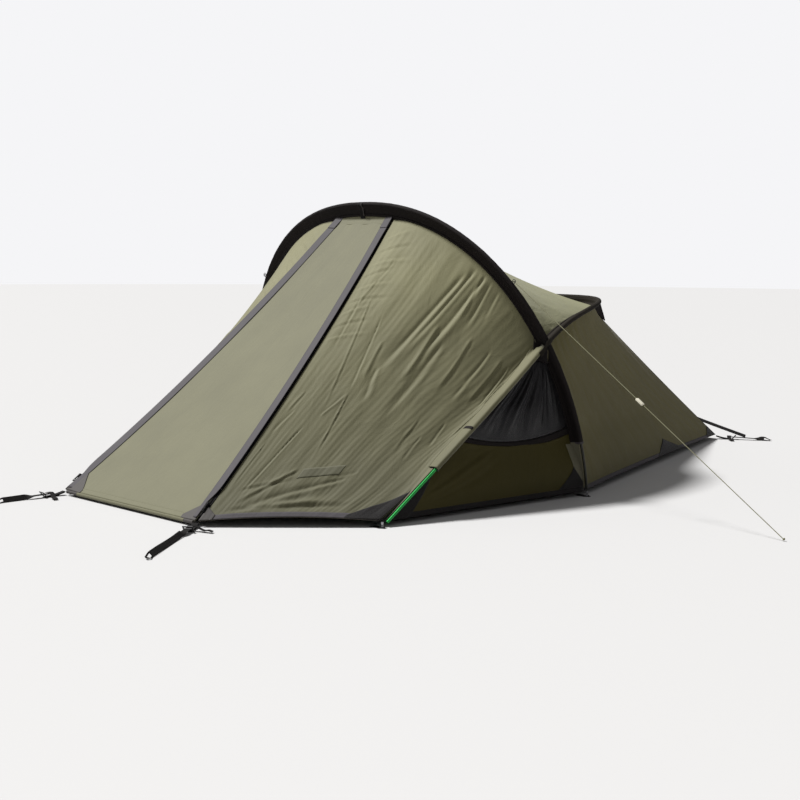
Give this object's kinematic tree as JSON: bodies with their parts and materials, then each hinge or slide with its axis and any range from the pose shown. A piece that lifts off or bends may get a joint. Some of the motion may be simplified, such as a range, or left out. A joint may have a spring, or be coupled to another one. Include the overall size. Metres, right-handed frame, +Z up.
{
  "type": "two-person tent",
  "caption": "Low two-person tent on two crossing arch poles, with a zipped front door, mesh side panels, an inner tent with a tray floor, pegging straps and a guy line.",
  "frame": {"origin": "on the ground under the groundsheet, on the tent's middle line, between the two feet of the front arch", "axes": "+X to the foot end, -Y to the near side, +Z up"},
  "size_m": [3.3887, 2.5405, 1.0087],
  "materials": {
    "fly": "matte coated polyester taffeta, olive",
    "sleeve": "matte woven nylon, near black",
    "trim": "matte grey polyester tape",
    "mesh": "matte fine insect netting, black",
    "inner": "matte breathable polyester, olive",
    "floor": "satin coated groundsheet cloth, dark olive",
    "webbing": "matte ribbed webbing, black",
    "cord": "matte braided polyester line, olive",
    "pole": "bright green anodised tube",
    "metal": "satin plated metal",
    "zip": "matte nylon coil, black",
    "buckle": "matte moulded acetal, black",
    "runner": "matte moulded nylon, off-white"
  },
  "bodies": {
    "tent": {"far_front_panel": "fly", "far_guy_ring": "webbing", "far_inner_wall": "inner", "far_rear_panel": "fly", "far_side_hem_band": "trim", "far_side_mesh": "mesh", "far_side_panel": "fly", "far_zip_chain": "zip", "foot_bridle_strap": "webbing", "foot_end_panel": "fly", "foot_vent_mesh": "mesh", "front_far_buckle": "buckle", "front_far_foot_tip": "metal", "front_far_foot_webbing": "webbing", "front_far_tab": "webbing", "front_near_buckle": "buckle", "front_near_foot_tip": "metal", "front_near_foot_webbing": "webbing", "front_near_tab": "webbing", "front_pole": "pole", "front_pole_sleeve": "sleeve", "groundsheet": "floor", "guy_line": "cord", "guy_line_knot": "cord", "inner_foot_wall": "inner", "inner_front_wall": "mesh", "inner_roof": "inner", "near_front_panel": "fly", "near_guy_ring": "webbing", "near_inner_wall": "inner", "near_rear_panel": "fly", "near_side_hem_band": "trim", "near_side_mesh": "mesh", "near_side_panel": "fly", "near_zip_chain": "zip", "rear_far_buckle": "buckle", "rear_far_foot_tip": "metal", "rear_far_foot_webbing": "webbing", "rear_far_tab": "webbing", "rear_near_buckle": "buckle", "rear_near_foot_tip": "metal", "rear_near_foot_webbing": "webbing", "rear_near_tab": "webbing", "rear_pole": "pole", "rear_pole_sleeve": "sleeve", "roof_panel": "fly", "vent_hood": "sleeve"},
    "front_door": {"door_panel": "fly", "near_storm_flap": "trim", "far_storm_flap": "trim"},
    "near_slider": {"near_zip_slider": "metal"},
    "near_pull": {"near_zip_pull": "metal"},
    "far_slider": {"far_zip_slider": "metal"},
    "far_pull": {"far_zip_pull": "metal"},
    "inner_door": {"inner_door_panel": "inner"},
    "runner": {"guy_runner": "runner"},
    "front_near_strap_body": {"front_near_strap": "webbing"},
    "front_far_strap_body": {"front_far_strap": "webbing"},
    "rear_near_strap_body": {"rear_near_strap": "webbing"},
    "rear_far_strap_body": {"rear_far_strap": "webbing"}
  },
  "joints": [
    {"name": "front_door_swing", "type": "hinge", "parent": "tent", "child": "front_door", "pos_m": [-0.24341, 0, 0.9473], "axis": [0, 1, 0], "range_deg": [0, 90]},
    {"name": "near_zip_slide", "type": "slide", "parent": "tent", "child": "near_slider", "axis": [0.7423, 0.1591, 0.6509], "range_m": [0, 1.2531]},
    {"name": "near_zip_pull_swing", "type": "hinge", "parent": "near_slider", "child": "near_pull", "pos_m": [-1.25325, -0.35467, 0.06537], "axis": [0, 1, 0], "range_deg": [0, 110]},
    {"name": "far_zip_slide", "type": "slide", "parent": "tent", "child": "far_slider", "axis": [0.7423, -0.1591, 0.6509], "range_m": [0, 1.2531]},
    {"name": "far_zip_pull_swing", "type": "hinge", "parent": "far_slider", "child": "far_pull", "pos_m": [-1.25325, 0.35467, 0.06537], "axis": [0, 1, 0], "range_deg": [0, 110]},
    {"name": "inner_door_swing", "type": "hinge", "parent": "tent", "child": "inner_door", "pos_m": [-0.47155, 0, 0.09483], "axis": [0, -1, 0], "range_deg": [0, 100]},
    {"name": "front_near_strap_slide", "type": "slide", "parent": "tent", "child": "front_near_strap_body", "axis": [-0.8144, -0.5801, -0.0178], "range_m": [-0.04, 0]},
    {"name": "front_far_strap_slide", "type": "slide", "parent": "tent", "child": "front_far_strap_body", "axis": [-0.9981, 0.0537, -0.0307], "range_m": [-0.04, 0]},
    {"name": "rear_near_strap_slide", "type": "slide", "parent": "tent", "child": "rear_near_strap_body", "axis": [0.4959, -0.8678, -0.0331], "range_m": [-0.04, 0]},
    {"name": "rear_far_strap_slide", "type": "slide", "parent": "tent", "child": "rear_far_strap_body", "axis": [0.4959, 0.8678, -0.0331], "range_m": [-0.04, 0]},
    {"name": "guy_runner_slide", "type": "slide", "parent": "tent", "child": "runner", "axis": [0.0049, -0.8151, -0.5793], "range_m": [-0.3, 0.3]}
  ],
  "couplings": [
    {"joint": "near_zip_slide", "follows": "front_door_swing", "m_per_rad": 0.79745},
    {"joint": "far_zip_slide", "follows": "front_door_swing", "m_per_rad": 0.79745}
  ]
}
